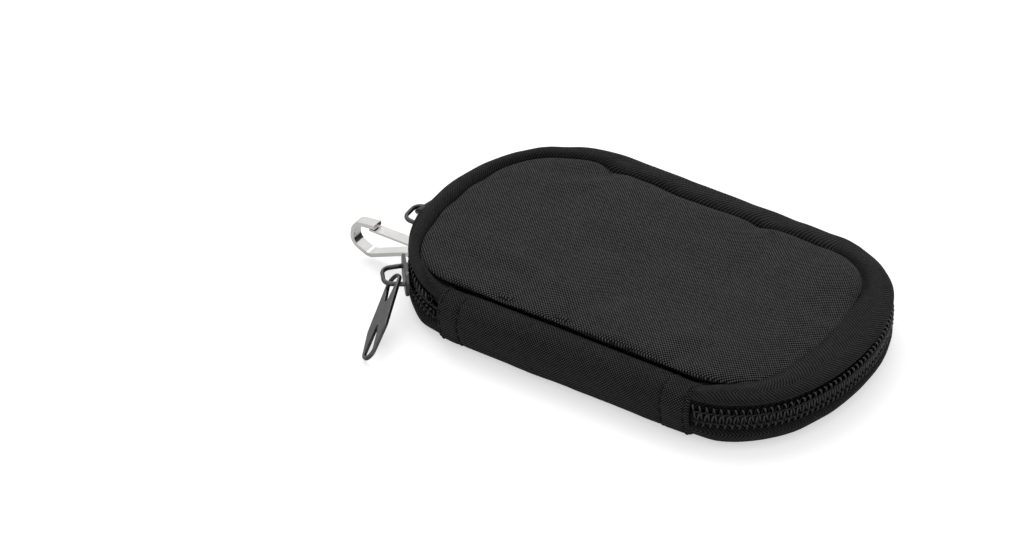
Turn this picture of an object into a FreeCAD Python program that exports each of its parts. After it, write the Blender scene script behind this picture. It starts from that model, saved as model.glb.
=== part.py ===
import FreeCAD
import Part
import math
import os

os.makedirs("parts", exist_ok=True)

# Zip-round key case lying flat, in millimetres. X runs along the case with the
# hook at -X, Y runs across it with the spine at -Y, and Z rises from the table.

# The whole case. A spacing is between the centres of an end's two corner arcs, and a bow
# is how far an end's arc swells over the whole width
case_length = 115.0
case_width = 73.0
case_height = 16.5
hook_end_bow = 18.7
hook_corner_spacing = 13.0
plain_end_bow = 13.9
plain_corner_spacing = 19.0

# Seam between each panel and the gusset, measured in from the outline
seam_margin_hook_end = 6.2
seam_margin_plain_end = 9.6
seam_margin_front = 6.9
seam_margin_back = 8.2
seam_hook_end_bow = 7.2
seam_plain_end_bow = 5.4
seam_front_hook_spacing = 33.9
seam_back_hook_spacing = 17.9
seam_front_plain_spacing = 26.9
seam_back_plain_spacing = 31.9
seam_drop = 2.5
rim_drop = 0.5

# Cloth layers
tape_thickness = 0.8
panel_thickness = 0.8
spine_thickness = 0.9
lining_thickness = 0.5
foam_thickness = 2.4
binding_thickness = 1.2
binding_depth = 1.5
binding_setback = 1.7
layer_gap = 0.06
run_gap = 0.3
cut_overrun = 40.0

# Spine, from each end of the case to its folded end
spine_hook_setback = 22.8
spine_plain_setback = 23.9

# Zipper coils, one bead each side of the slit that the sliders' posts run in
chain_inset = 1.0
coil_width = 6.4
coil_thickness = 2.1
coil_slit = 1.1
coil_rounding = 0.6
mouth_height = 7.0

# Sliders
near_slider_angle = 40.0
far_slider_angle = 5.0
slider_length = 11.5
slider_outer_width = 6.4
slider_inner_width = 8.6
slider_plate = 0.8
slider_corner = 2.4
slider_edge = 0.3
flange_width = 0.8
flange_height = 0.6
post_length = 3.0
post_width = 0.6
post_setback = 1.2

# Bails and pull tabs
bail_span = 8.4
bail_height = 5.3
bail_thickness = 1.0
bail_depth = 1.2
bail_bend = 2.2
bail_lean_angle = 8.0
pull_length = 25.0
pull_width = 6.8
pull_neck_width = 4.8
pull_tip_width = 4.4
pull_thickness = 1.0
pull_eye_width = 3.5
pull_eye_narrow = 1.4
pull_eye_length = 7.4
pull_window_length = 8.8
pull_window_narrow = 1.1
pull_window_wide = 3.0
pull_tip_wall = 0.9
pull_play = 0.35
pull_drop_angle = 17.0
near_pull_swing_angle = 22.0
far_pull_swing_angle = 2.0
pull_twist_angle = 45.0

# Hook: a flat strip bent to a loop, with a spring leaf closing it
hook_setover = 1.05
hook_strip_width = 2.9
hook_strip_thickness = 1.0
hook_loop_length = 16.0
hook_loop_drop = 5.6
hook_nose_rise = 1.8
hook_nose_length = 5.4
hook_nose_tilt_angle = 7.0
hook_inside_reach = 5.0
gate_thickness = 0.6
gate_lap = 1.6
barrel_radius = 2.3
barrel_length = 5.5
stem_radius = 1.1
stem_depth = 4.0
stem_play = 0.05
eye_wire = 1.6
eye_width = 10.6
eye_length = 6.0
eye_bend = 1.8
strap_width = 6.8
strap_thickness = 0.9
strap_length = 16.0
strap_slope_angle = 25.0

# Shapes of the sections, as shares of the sizes that they follow
tape_in_shares = (0.08, 0.02, 0.10, 0.36, 0.62, 0.86, 1.0)
tape_up_shares = (0.0, 0.30, 0.66, 0.94, 1.0, 0.84, 0.56)
tape_fall_shares = (0.0, 0.07, 0.24, 0.33, 0.29, 0.17, 0.0)
lower_fall_share = 0.3
panel_out_shares = (1.0, 0.985, 0.95, 0.86, 0.70, 0.52)
panel_up_shares = (0.0, 0.42, 0.72, 0.90, 0.98, 1.0)
foam_out_shares = (0.92, 0.92, 0.84, 0.68, 0.52)
foam_up_shares = (0.0, 0.55, 0.84, 0.96, 1.0)
spine_in_shares = (1.0, 0.78, 0.45, 0.16, 0.02)
spine_up_shares = (1.0, 0.975, 0.92, 0.72, 0.4)
spine_down_shares = (1.0, 1.28, 1.28, 1.0, 0.5)
spine_proud_share = 0.04
hook_bend_along_shares = (0.09, 0.72, 1.0, 0.95)
hook_bend_drop_shares = (0.23, 1.0, 0.64)
hook_bend_radius_shares = (0.7, 0.45, 0.45, 0.36)
flange_length_share = 0.8
pull_grip_share = 0.56
pull_shoulder_share = 0.66
strap_bend_share = 0.9

# Places that follow from the sizes
case_half_width = case_width / 2
hook_corner_radius = case_half_width - hook_corner_spacing / 2
plain_corner_radius = case_half_width - plain_corner_spacing / 2
seam_half_width = case_half_width - (seam_margin_front + seam_margin_back) / 2
spine_hook_reach = case_length / 2 - spine_hook_setback
spine_plain_reach = case_length / 2 - spine_plain_setback
zip_height = case_height / 2
crown_rise = case_height - zip_height
seam_rise = crown_rise - seam_drop
rim_rise = crown_rise - rim_drop
tape_edge_rise = coil_width / 2 + layer_gap * 3
lip_rise = mouth_height / 2
lip_depth = (coil_width - coil_slit) / 2
mouth_cut_rise = lip_rise + lip_depth + layer_gap
foam_rise = crown_rise - panel_thickness - layer_gap - foam_thickness
lining_rise = foam_rise - layer_gap - lining_thickness
binding_rise = seam_rise - panel_thickness - binding_depth


def vector(x, y, z=0):
    return FreeCAD.Vector(x, y, z)


def bow_radius(bow, half_width):
    # Radius of an end arc that bows out this far over the whole width
    return (bow ** 2 + half_width ** 2) / bow / 2


class Outline:
    # A flat rounded outline: each end is one shallow arc with a tighter arc at each corner.
    # Corner radii run front left, front right, back right, back left.

    def __init__(self, left, right, front, back, left_radius, right_radius, corners):
        self.left = left
        self.right = right
        self.front = front
        self.back = back
        self.left_radius = left_radius
        self.right_radius = right_radius
        self.corners = corners

    def values(self):
        sides = [self.left, self.right, self.front, self.back]
        return sides + [self.left_radius, self.right_radius] + list(self.corners)

    @staticmethod
    def of(values):
        return Outline(*values[:6], tuple(values[6:]))

    def inset(self, depth):
        moves = [depth, -depth, depth, -depth] + [-depth] * 6
        return Outline.of([value + move for value, move in zip(self.values(), moves)])

    def mixed(self, other, share):
        pairs = zip(self.values(), other.values())
        return Outline.of([here + (there - here) * share for here, there in pairs])

    def scaled(self, share):
        across = (self.left + self.right) / 2
        along = (self.front + self.back) / 2
        middles = [across, across, along, along] + [0] * 6
        pairs = zip(self.values(), middles)
        return Outline.of([middle + (value - middle) * share for value, middle in pairs])

    def end_centre(self, end):
        middle = (self.front + self.back) / 2
        if end < 0:
            return vector(self.left + self.left_radius, middle)
        return vector(self.right - self.right_radius, middle)

    def corner(self, end, side):
        # Centre, radius and lean of a corner arc, for the end at -X or +X and the side at -Y or +Y
        index = (0 if end < 0 else 1) if side < 0 else (3 if end < 0 else 2)
        radius = self.corners[index]
        span = (self.left_radius if end < 0 else self.right_radius) - radius
        half = (self.back - self.front) / 2
        lean = math.asin((half - radius) / span)
        centre = self.end_centre(end) + vector(end * span * math.cos(lean), side * (half - radius))
        return centre, radius, lean

    def corner_points(self, end, side):
        centre, radius, lean = self.corner(end, side)
        turns = (math.pi / 2, (math.pi / 2 + lean) / 2, lean)
        return [centre + vector(end * math.cos(a), side * math.sin(a)) * radius for a in turns]

    def end_middle(self, end):
        front_lean = self.corner(end, -1)[2]
        back_lean = self.corner(end, 1)[2]
        turn = (back_lean - front_lean) / 2
        radius = self.left_radius if end < 0 else self.right_radius
        return self.end_centre(end) + vector(end * math.cos(turn), math.sin(turn)) * radius

    def edges(self, height):
        lift = vector(0, 0, height)
        front_left = self.corner_points(-1, -1)
        front_right = self.corner_points(1, -1)
        back_right = self.corner_points(1, 1)
        back_left = self.corner_points(-1, 1)
        runs = [
            [front_left[0], front_right[0]],
            front_right,
            [front_right[2], self.end_middle(1), back_right[2]],
            back_right[::-1],
            [back_right[0], back_left[0]],
            back_left,
            [back_left[2], self.end_middle(-1), front_left[2]],
            front_left[::-1],
        ]
        return [run_edge([point + lift for point in run]) for run in runs]

    def face(self, height):
        return Part.Face(Part.Wire(self.edges(height)))

    def slab(self, low, high):
        return self.face(low).extrude(vector(0, 0, high - low))


def run_edge(points):
    if len(points) == 2:
        return Part.makeLine(points[0], points[1])
    return Part.Arc(points[0], points[1], points[2]).toShape()


def skin(rings, closed):
    # A solid bounded by ruled bands between successive rings, capped at both ends or joined round.
    # The 1 rules each band between edges that run the same way
    faces = []
    if closed:
        pairs = list(zip(rings, rings[1:] + rings[:1]))
    else:
        pairs = list(zip(rings, rings[1:]))
        faces = [Part.Face(Part.Wire(rings[0])), Part.Face(Part.Wire(rings[-1]))]
    for lower, upper in pairs:
        faces += [Part.makeRuledSurface(a, b, 1) for a, b in zip(lower, upper)]
    joined = Part.makeCompound(faces)
    joined.sewShape()
    solid = Part.Solid(joined.Shells[0])
    if solid.Volume < 0:
        solid.reverse()
    return solid


def inner_line(points, thickness):
    # The line one thickness to the right of a section line, which runs up and inwards
    moved = []
    for index, (along, up) in enumerate(points):
        before = points[max(index - 1, 0)]
        after = points[min(index + 1, len(points) - 1)]
        run = math.hypot(after[0] - before[0], after[1] - before[1])
        right = ((after[1] - before[1]) / run, (before[0] - after[0]) / run)
        moved.append((along + right[0] * thickness, up + right[1] * thickness))
    return moved


def rounded_runs(points, radii):
    # Straight runs through the points, with an arc of the given radius at each inner point
    runs = []
    start = points[0]
    for before, here, after, radius in zip(points, points[1:], points[2:], radii):
        back = (before - here).normalize()
        ahead = (after - here).normalize()
        half_turn = back.getAngle(ahead) / 2
        reach = radius / math.tan(half_turn)
        middle = here + (back + ahead).normalize() * (radius / math.sin(half_turn) - radius)
        runs.append([start, here + back * reach])
        runs.append([here + back * reach, middle, here + ahead * reach])
        start = here + ahead * reach
    runs.append([start, points[-1]])
    return runs


def rounded_path(points, radii):
    return Part.Wire([run_edge(run) for run in rounded_runs(points, radii)])


def tapered_face(low_centre, low_radius, high_centre, high_radius):
    # A flat rounded bar along X whose ends are arcs of two radii joined by tangents
    lean = math.asin((high_radius - low_radius) / (high_centre - low_centre))
    low = vector(-math.sin(lean), math.cos(lean)) * low_radius + vector(low_centre, 0)
    high = vector(-math.sin(lean), math.cos(lean)) * high_radius + vector(high_centre, 0)
    low_other = vector(low.x, -low.y)
    high_other = vector(high.x, -high.y)
    edges = [
        run_edge([low_other, vector(low_centre - low_radius, 0), low]),
        run_edge([low, high]),
        run_edge([high, vector(high_centre + high_radius, 0), high_other]),
        run_edge([high_other, low_other]),
    ]
    return Part.Face(Part.Wire(edges))


def box(low, high):
    size = high - low
    return Part.makeBox(size.x, size.y, size.z, low)


def flipped(shape):
    # The same piece in the other half of the case
    return shape.mirror(vector(0, 0, zip_height), vector(0, 0, 1))


def save(name, shape):
    shape.exportStep("parts/" + name + ".step")


# Outlines of the case and of the seam round each panel
hook_end_radius = bow_radius(hook_end_bow, case_half_width)
case_outline = Outline(
    -case_length / 2,
    case_length / 2,
    -case_half_width,
    case_half_width,
    hook_end_radius,
    bow_radius(plain_end_bow, case_half_width),
    (hook_corner_radius, plain_corner_radius, plain_corner_radius, hook_corner_radius),
)
seam_outline = Outline(
    case_outline.left + seam_margin_hook_end,
    case_outline.right - seam_margin_plain_end,
    case_outline.front + seam_margin_front,
    case_outline.back - seam_margin_back,
    bow_radius(seam_hook_end_bow, seam_half_width),
    bow_radius(seam_plain_end_bow, seam_half_width),
    (
        seam_half_width - seam_front_hook_spacing / 2,
        seam_half_width - seam_front_plain_spacing / 2,
        seam_half_width - seam_back_plain_spacing / 2,
        seam_half_width - seam_back_hook_spacing / 2,
    ),
)

# Slider places on the chain's line
near_arc_centre = case_outline.corner(-1, -1)[0]
near_arc_radius = hook_corner_radius - chain_inset
far_arc_centre = case_outline.end_centre(-1)
far_arc_radius = hook_end_radius - chain_inset
near_half_angle = math.degrees(math.asin(slider_length / 2 / near_arc_radius))
far_half_angle = math.degrees(math.asin(slider_length / 2 / far_arc_radius))


def outward(angle):
    # Unit vector from the hook end's arc centres, turned from -X towards -Y
    turn = math.radians(angle)
    return vector(-math.cos(turn), -math.sin(turn))


mouth_near = near_arc_centre + outward(near_slider_angle - near_half_angle) * near_arc_radius
mouth_far = far_arc_centre + outward(far_slider_angle + far_half_angle) * far_arc_radius
tail_far = far_arc_centre + outward(far_slider_angle - far_half_angle) * far_arc_radius
tail_near_angle = near_slider_angle + near_half_angle


def front_block(low_x, high_x):
    # Everything in front of the middle line between two places along the case
    low = vector(low_x, case_outline.front - cut_overrun, -cut_overrun)
    return box(low, vector(high_x, 0, case_height + cut_overrun))


def mouth_block(rise):
    # The way out of the case between the two sliders, as high as the given rise each way
    low = vector(case_outline.left - cut_overrun, mouth_near.y, zip_height - rise)
    inner_x = mouth_near.x + coil_thickness / 2
    return box(low, vector(inner_x, mouth_far.y, zip_height + rise))


def gusset_ring(line, falls):
    # A closed band round the case from a section line of (share to the seam, rise) points,
    # each ring falling by so much from the hook end to the plain end
    rings = []
    for (share, rise), fall in zip(line, falls):
        height = zip_height + rise
        ring = case_outline.mixed(seam_outline, share).edges(height)
        pivot = vector(case_outline.left, 0, height)
        for edge in ring:
            edge.rotate(pivot, vector(0, 1), math.degrees(math.asin(fall / case_length)))
        rings.append(ring)
    return skin(rings, True)


def thick_section(shares, rises, thickness, reach):
    outer = [(share * reach, rise) for share, rise in zip(shares, rises)]
    inner = inner_line(outer, thickness)
    return [(along / reach, rise) for along, rise in outer + inner[::-1]]


def zipper_tape(fall_share):
    # One tape, with this share of the full fall towards the plain end
    rim_reach = rim_rise - tape_edge_rise
    rises = [tape_edge_rise + share * rim_reach for share in tape_up_shares]
    section = thick_section(tape_in_shares, rises, tape_thickness, seam_margin_front)
    falls = [share * rim_reach * fall_share for share in tape_fall_shares]
    band = gusset_ring(section, falls + falls[::-1])
    spine_room = front_block(-spine_hook_reach - layer_gap, spine_plain_reach + layer_gap)
    return band.cut(spine_room).cut(mouth_block(mouth_cut_rise))


def zipper_coil():
    # Bead along the tape's edge: two closed stretches and the spread stretch at the mouth
    outer = case_outline.inset(chain_inset - coil_thickness / 2)
    inner = case_outline.inset(chain_inset + coil_thickness / 2)
    low = zip_height + coil_slit / 2
    high = low + lip_depth
    bead = outer.slab(low, high).cut(inner.slab(low, high))
    rims = [edge for edge in bead.Edges if edge.BoundBox.ZLength < layer_gap]
    bead = bead.makeFillet(coil_rounding, rims)
    wide = case_length + cut_overrun
    start = outward(tail_near_angle) * wide
    finish = vector(0, -wide)
    wedge_points = [near_arc_centre, near_arc_centre + start, near_arc_centre + start + finish]
    wedge_points += [vector(-spine_hook_reach - layer_gap, near_arc_centre.y - wide)]
    wedge_points += [vector(-spine_hook_reach - layer_gap, near_arc_centre.y)]
    wedge = Part.Face(Part.makePolygon(wedge_points + wedge_points[:1]))
    wedge = wedge.extrude(vector(0, 0, case_height))
    near_stretch = bead.common(wedge)
    hook_side = box(vector(-wide, -wide, 0), vector(-spine_hook_reach, tail_far.y + run_gap, case_height))
    front_side = front_block(-spine_hook_reach - cut_overrun, spine_plain_reach + layer_gap)
    far_stretch = bead.cut(hook_side).cut(front_side)
    mouth = mouth_block(case_height)
    lip = bead.translated(vector(0, 0, lip_rise - coil_slit / 2)).common(mouth)
    return Part.makeCompound(near_stretch.Solids + far_stretch.Solids + lip.Solids)


def panel_lines():
    insets = [(1 - share) * seam_half_width for share in panel_out_shares]
    outer = [(inset, seam_rise + share * seam_drop) for inset, share in zip(insets, panel_up_shares)]
    return outer, inner_line(outer, panel_thickness)


def panel_ring(inset, rise):
    return seam_outline.scaled(1 - inset / seam_half_width).edges(zip_height + rise)


def panel():
    outer, inner = panel_lines()
    rings = [panel_ring(inset + layer_gap, rise) for inset, rise in inner[::-1] + outer]
    return skin(rings, False)


def foam():
    rings = []
    for out, up in zip(foam_out_shares, foam_up_shares):
        rings.append(seam_outline.scaled(out).edges(zip_height + foam_rise + up * foam_thickness))
    return skin(rings, False)


def lining():
    sheet = seam_outline.inset(binding_setback + binding_thickness + layer_gap)
    low = zip_height + lining_rise
    return sheet.slab(low, low + lining_thickness)


def seam_binding():
    outer = seam_outline.inset(binding_setback)
    inner = seam_outline.inset(binding_setback + binding_thickness)
    low = zip_height + binding_rise
    high = low + binding_depth
    return outer.slab(low, high).cut(inner.slab(low, high))


def spine_halves():
    # The spine is one cloth; its two halves meet on the fold line at the zip's height
    ups = [share * seam_rise for share in spine_up_shares]
    downs = [-share * seam_rise for share in spine_down_shares]
    shares = list(spine_in_shares) + [-spine_proud_share] + list(spine_in_shares[::-1])
    section = thick_section(shares, downs + [0] + ups[::-1], spine_thickness, seam_margin_front)
    band = gusset_ring(section, [0] * len(section))
    wall = band.common(front_block(-spine_hook_reach, spine_plain_reach))
    room = vector(case_length, case_width, cut_overrun)
    fold = vector(0, 0, layer_gap / 2)
    middle = vector(0, 0, zip_height)
    below = box(middle - room, middle + vector(room.x, room.y) + fold)
    above = box(middle - vector(room.x, room.y) - fold, middle + room)
    return wall.cut(below), wall.cut(above)


# Sliders are drawn at the origin: X along the chain, Y out of the case, Z up from the zip line
slider_out_face = coil_thickness / 2 + run_gap
slider_sag = slider_length ** 2 / 8 / near_arc_radius
slider_in_face = -coil_thickness / 2 - slider_sag - run_gap
slider_top_face = slider_out_face + slider_plate
bail_foot = bail_span / 2 - bail_thickness / 2
bail_rise = bail_height - bail_thickness / 2
bail_shoulder = bail_foot - bail_rise * math.tan(math.radians(bail_lean_angle))
pull_grip = bail_rise * pull_grip_share
pull_point = vector(
    bail_foot - pull_grip * math.tan(math.radians(bail_lean_angle)),
    slider_top_face + pull_grip,
)


def slider_sheet(width, low_face):
    half_long = slider_length / 2
    half_wide = width / 2
    points = [
        vector(0, low_face, -half_wide),
        vector(half_long, low_face, -half_wide),
        vector(half_long, low_face, half_wide),
        vector(-half_long, low_face, half_wide),
        vector(-half_long, low_face, -half_wide),
        vector(0, low_face, -half_wide),
    ]
    sheet = Part.Face(rounded_path(points, [slider_corner] * 4))
    return sheet.extrude(vector(0, slider_plate, 0))


def slider_body(tail):
    outer = slider_sheet(slider_outer_width, slider_out_face)
    rim = [edge for edge in outer.Edges if edge.BoundBox.YMin > slider_top_face - layer_gap]
    outer = outer.makeFillet(slider_edge, rim)
    inner = slider_sheet(slider_inner_width, slider_in_face - slider_plate)
    mouth_end = -tail * (slider_length / 2 - post_setback)
    post_ends = sorted([mouth_end, mouth_end + tail * post_length])
    post = box(
        vector(post_ends[0], slider_in_face - slider_plate / 2, -post_width / 2),
        vector(post_ends[1], slider_out_face + slider_plate / 2, post_width / 2),
    )
    body = outer.fuse([inner, post])
    half_flange = slider_length * flange_length_share / 2 - slider_corner / 2
    for side in (-1, 1):
        edges = sorted([side * slider_inner_width / 2, side * (slider_inner_width / 2 - flange_width)])
        flange = box(
            vector(-half_flange, slider_in_face - slider_plate / 2, edges[0]),
            vector(half_flange, slider_in_face + flange_height, edges[1]),
        )
        body = body.fuse(flange)
    return body.removeSplitter()


def slider_bail():
    lean = math.tan(math.radians(bail_lean_angle))
    sunk = bail_depth
    points = [
        vector(-bail_foot - sunk * lean, slider_top_face - sunk),
        vector(-bail_shoulder, slider_top_face + bail_rise),
        vector(bail_shoulder, slider_top_face + bail_rise),
        vector(bail_foot + sunk * lean, slider_top_face - sunk),
    ]
    path = rounded_path(points, [bail_bend] * 2)
    section = Part.Ellipse(vector(0, 0), bail_depth / 2, bail_thickness / 2)
    ring = Part.Wire(section.toShape())
    ring.rotate(vector(0, 0), vector(0, 1), 90)
    ring.rotate(vector(0, 0), vector(0, 0, 1), 90 - bail_lean_angle)
    ring.translate(points[0])
    arch = path.makePipeShell([ring], True, False)
    below = box(
        vector(-bail_span, slider_top_face - cut_overrun, -bail_span),
        vector(bail_span, slider_top_face, bail_span),
    )
    return arch.cut(below)


def pull_tab(tail, swing_angle):
    # Drawn flat along X with the bail's leg at the origin, then twisted, dropped and swung to rest
    neck = -pull_play
    tip = pull_length - pull_neck_width / 2 - pull_play - pull_tip_width / 2
    shoulder = neck + (tip - neck) * pull_shoulder_share
    grip = tapered_face(neck, pull_neck_width / 2, shoulder, pull_width / 2)
    sheet = grip.fuse(tapered_face(shoulder, pull_width / 2, tip, pull_tip_width / 2)).removeSplitter()
    eye_end = neck + pull_eye_length - (pull_eye_width + pull_eye_narrow) / 2
    eye = tapered_face(neck, pull_eye_width / 2, eye_end, pull_eye_narrow / 2)
    wide_centre = tip + pull_tip_width / 2 - pull_tip_wall - pull_window_wide / 2
    narrow_centre = wide_centre - pull_window_length + (pull_window_wide + pull_window_narrow) / 2
    window = tapered_face(narrow_centre, pull_window_narrow / 2, wide_centre, pull_window_wide / 2)
    flat = sheet.cut(eye).cut(window).Faces[0]
    flat.translate(vector(0, 0, -pull_thickness / 2))
    tab = flat.extrude(vector(0, 0, pull_thickness))
    rim = [edge for edge in tab.Edges if edge.BoundBox.ZLength < layer_gap]
    tab = tab.makeFillet(slider_edge, rim)
    origin = vector(0, 0)
    tab.rotate(origin, vector(1, 0, 0), -pull_twist_angle)
    tab.rotate(origin, vector(0, 1, 0), pull_drop_angle)
    tab.rotate(origin, vector(0, 0, 1), swing_angle)
    tab.translate(pull_point)
    if tail < 0:
        return tab.mirror(origin, vector(1, 0, 0))
    return tab


def placed(shape, centre, angle, radius):
    # From the drawing place onto the chain's line at the given angle round an arc's centre
    moved = shape.copy()
    moved.rotate(vector(0, 0), vector(0, 0, 1), 90 + angle)
    moved.translate(centre + outward(angle) * radius + vector(0, 0, zip_height))
    return moved


# Hook parts are drawn in the plane across the case at the hook's place, along -X from the mouth
hook_y = (mouth_near.y + mouth_far.y) / 2 - hook_setover
mouth_x = far_arc_centre.x - math.sqrt(hook_end_radius ** 2 - hook_y ** 2)


def hook_point(along, rise):
    return vector(mouth_x - along, hook_y, zip_height + rise)


def strip(points, radii, thickness, width):
    # A flat strip bent along a path across the case, its thickness on the outside of the loop
    across = vector(0, 1)
    sides = [(b - a).normalize().cross(across) * thickness for a, b in zip(points, points[1:])]
    near_runs = rounded_runs(points, radii)
    far_runs = []
    for index, run in enumerate(near_runs):
        side = sides[index // 2]
        if len(run) == 2:
            far_runs.append([point + side for point in run])
        else:
            turned = sides[index // 2 + 1]
            middle = (side + turned).normalize() * thickness
            far_runs.append([run[0] + side, run[1] + middle, run[2] + turned])
    edges = [run_edge(run) for run in near_runs]
    edges.append(run_edge([near_runs[-1][-1], far_runs[-1][-1]]))
    edges += [run_edge(run[::-1]) for run in far_runs[::-1]]
    edges.append(run_edge([far_runs[0][0], near_runs[0][0]]))
    face = Part.Face(Part.Wire(edges))
    face.translate(across * (-width / 2))
    return face.extrude(across * width)


def hook_frame():
    alongs = [share * hook_loop_length for share in hook_bend_along_shares]
    nose_bend_rise = hook_nose_rise - hook_nose_length * math.tan(math.radians(hook_nose_tilt_angle))
    drops = [-share * hook_loop_drop for share in hook_bend_drop_shares] + [nose_bend_rise]
    points = [hook_point(-hook_inside_reach, drops[0])]
    points += [hook_point(along, rise) for along, rise in zip(alongs, drops)]
    points += [hook_point(alongs[-1] - hook_nose_length, hook_nose_rise)]
    radii = [share * hook_loop_drop for share in hook_bend_radius_shares]
    return strip(points, radii, hook_strip_thickness, hook_strip_width)


gate_rise = hook_nose_rise - run_gap - gate_thickness / 2
gate_root = run_gap - hook_inside_reach
gate_tip = hook_bend_along_shares[-1] * hook_loop_length - hook_nose_length + gate_lap


def hook_gate():
    low = hook_point(gate_tip, gate_rise - gate_thickness / 2) - vector(0, hook_strip_width / 2)
    high = hook_point(gate_root, gate_rise + gate_thickness / 2) + vector(0, hook_strip_width / 2)
    leaf = box(low, high)
    ends = [edge for edge in leaf.Edges if edge.BoundBox.XMax < low.x + layer_gap]
    ends = [edge for edge in ends if edge.BoundBox.YLength > hook_strip_width / 2]
    return leaf.makeFillet(gate_thickness / 3, ends)


def hook_barrel():
    start = hook_point(-hook_inside_reach, 0)
    barrel = Part.makeCylinder(barrel_radius, barrel_length, start, vector(1, 0))
    barrel = barrel.makeFillet(slider_edge, barrel.Edges)
    bore_start = start + vector(barrel_length - stem_depth, 0)
    bore = Part.makeCylinder(stem_radius + stem_play, stem_depth, bore_start, vector(1, 0))
    return barrel.cut(bore)


def swivel_eye():
    # Round stem in the barrel, with a flat loop behind it for the strap
    start = hook_point(-hook_inside_reach - barrel_length + stem_depth - stem_play, 0)
    loop_start = hook_point(-hook_inside_reach - barrel_length - run_gap - eye_wire / 2, 0)
    stem = Part.makeCylinder(stem_radius, (loop_start - start).x, start, vector(1, 0))
    half = eye_width / 2 - eye_wire / 2
    back = loop_start + vector(eye_length - eye_wire, 0)
    across = vector(0, half)
    points = [loop_start, loop_start + across, back + across, back - across, loop_start - across, loop_start]
    path = rounded_path(points, [eye_bend] * 4)
    ring = Part.Wire(Part.makeCircle(eye_wire / 2, loop_start, vector(0, 1)))
    loop = path.makePipeShell([ring], True, False)
    return stem.fuse(loop).removeSplitter()


def hook_strap():
    # Webbing doubled round the loop's far bar, its two layers sewn down on the lower lining
    bar = hook_point(-hook_inside_reach - barrel_length - run_gap - eye_length + eye_wire / 2, 0)
    wrap = eye_wire / 2 + run_gap
    floor = zip_height - lining_rise + layer_gap + strap_thickness
    slope = math.radians(strap_slope_angle)
    along = vector(-math.cos(slope), 0, math.sin(slope))
    below = vector(-math.sin(slope), 0, -math.cos(slope)) * wrap
    low_run = (bar.z + below.z - floor) / along.z
    high_run = (bar.z - below.z - floor - layer_gap) / along.z
    sewn_end = vector(bar.x + strap_length, hook_y, floor)
    points = [
        sewn_end,
        bar + below - along * low_run,
        bar + below + along * wrap,
        bar - below + along * wrap,
        bar - below - along * high_run,
        sewn_end + vector(0, 0, layer_gap),
    ]
    wrap_bend = wrap * strap_bend_share
    radii = [strap_thickness * 2, wrap_bend, wrap_bend, strap_thickness * 2]
    return strip(points, radii, strap_thickness, strap_width)


upper = {
    "top_panel": panel(),
    "top_foam": foam(),
    "top_lining": lining(),
    "upper_seam_binding": seam_binding(),
    "upper_zipper_coil": zipper_coil(),
}
lower_names = {
    "top_panel": "bottom_panel",
    "top_foam": "bottom_foam",
    "top_lining": "bottom_lining",
    "upper_seam_binding": "lower_seam_binding",
    "upper_zipper_coil": "lower_zipper_coil",
}
for name, shape in upper.items():
    save(name, shape)
    save(lower_names[name], flipped(shape))

save("upper_zipper_tape", zipper_tape(1))
save("lower_zipper_tape", flipped(zipper_tape(lower_fall_share)))
upper_spine, lower_spine = spine_halves()
save("upper_spine_panel", upper_spine)
save("lower_spine_panel", lower_spine)

for name, tail, centre, angle, radius, swing_angle in (
    ("near", -1, near_arc_centre, near_slider_angle, near_arc_radius, near_pull_swing_angle),
    ("far", 1, far_arc_centre, far_slider_angle, far_arc_radius, far_pull_swing_angle),
):
    save(name + "_slider_body", placed(slider_body(tail), centre, angle, radius))
    save(name + "_slider_bail", placed(slider_bail(), centre, angle, radius))
    save(name + "_pull_tab", placed(pull_tab(tail, swing_angle), centre, angle, radius))

save("hook_frame", hook_frame())
save("hook_gate", hook_gate())
save("hook_barrel", hook_barrel())
save("swivel_eye", swivel_eye())
save("hook_strap", hook_strap())
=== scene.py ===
import bpy
import bmesh
import math
from mathutils import Matrix, Vector, noise


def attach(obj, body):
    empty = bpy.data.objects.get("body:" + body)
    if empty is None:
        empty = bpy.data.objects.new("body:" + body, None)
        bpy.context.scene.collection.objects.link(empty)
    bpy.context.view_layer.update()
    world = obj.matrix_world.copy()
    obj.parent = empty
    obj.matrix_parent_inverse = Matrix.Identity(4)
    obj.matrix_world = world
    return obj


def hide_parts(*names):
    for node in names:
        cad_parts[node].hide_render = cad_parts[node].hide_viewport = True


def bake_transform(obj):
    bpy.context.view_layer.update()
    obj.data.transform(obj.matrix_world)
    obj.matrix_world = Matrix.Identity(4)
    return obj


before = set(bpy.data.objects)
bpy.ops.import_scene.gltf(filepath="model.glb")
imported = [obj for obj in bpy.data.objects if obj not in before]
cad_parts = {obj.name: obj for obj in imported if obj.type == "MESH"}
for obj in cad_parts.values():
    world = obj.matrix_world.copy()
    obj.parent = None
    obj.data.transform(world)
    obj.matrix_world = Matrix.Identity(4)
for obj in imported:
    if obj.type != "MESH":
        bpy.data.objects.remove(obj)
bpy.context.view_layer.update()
scene = bpy.context.scene
mm = 0.001
halves = (("upper", "top", 1, "cover"), ("lower", "bottom", -1, "base"))  # two name starts, side of the zip, body
print("frame loaded:", len(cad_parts), "nodes")


# the case's outline and seam line in millimetres, as the frame has them
caseForm = {
    "length": 115.0,
    "width": 73.0,
    "zipHeight": 8.25,
    "hookBow": 18.7,
    "plainBow": 13.9,
    "cornerSpacings": (13.0, 19.0, 19.0, 13.0),  # front hook, front plain, back plain, back hook
    "seamMargins": (6.2, 9.6, 6.9, 8.2),  # hook end, plain end, front, back
    "seamHookBow": 7.2,
    "seamPlainBow": 5.4,
    "seamSpacings": (33.9, 26.9, 31.9, 17.9),
    "seamRise": 5.75,
    "crownRise": 8.25,
    "step": 0.8,  # spacing of the cloth's columns
}
zipZ = caseForm["zipHeight"]


def bowRadius(bow, half):
    return (bow * bow + half * half) / bow / 2


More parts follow.
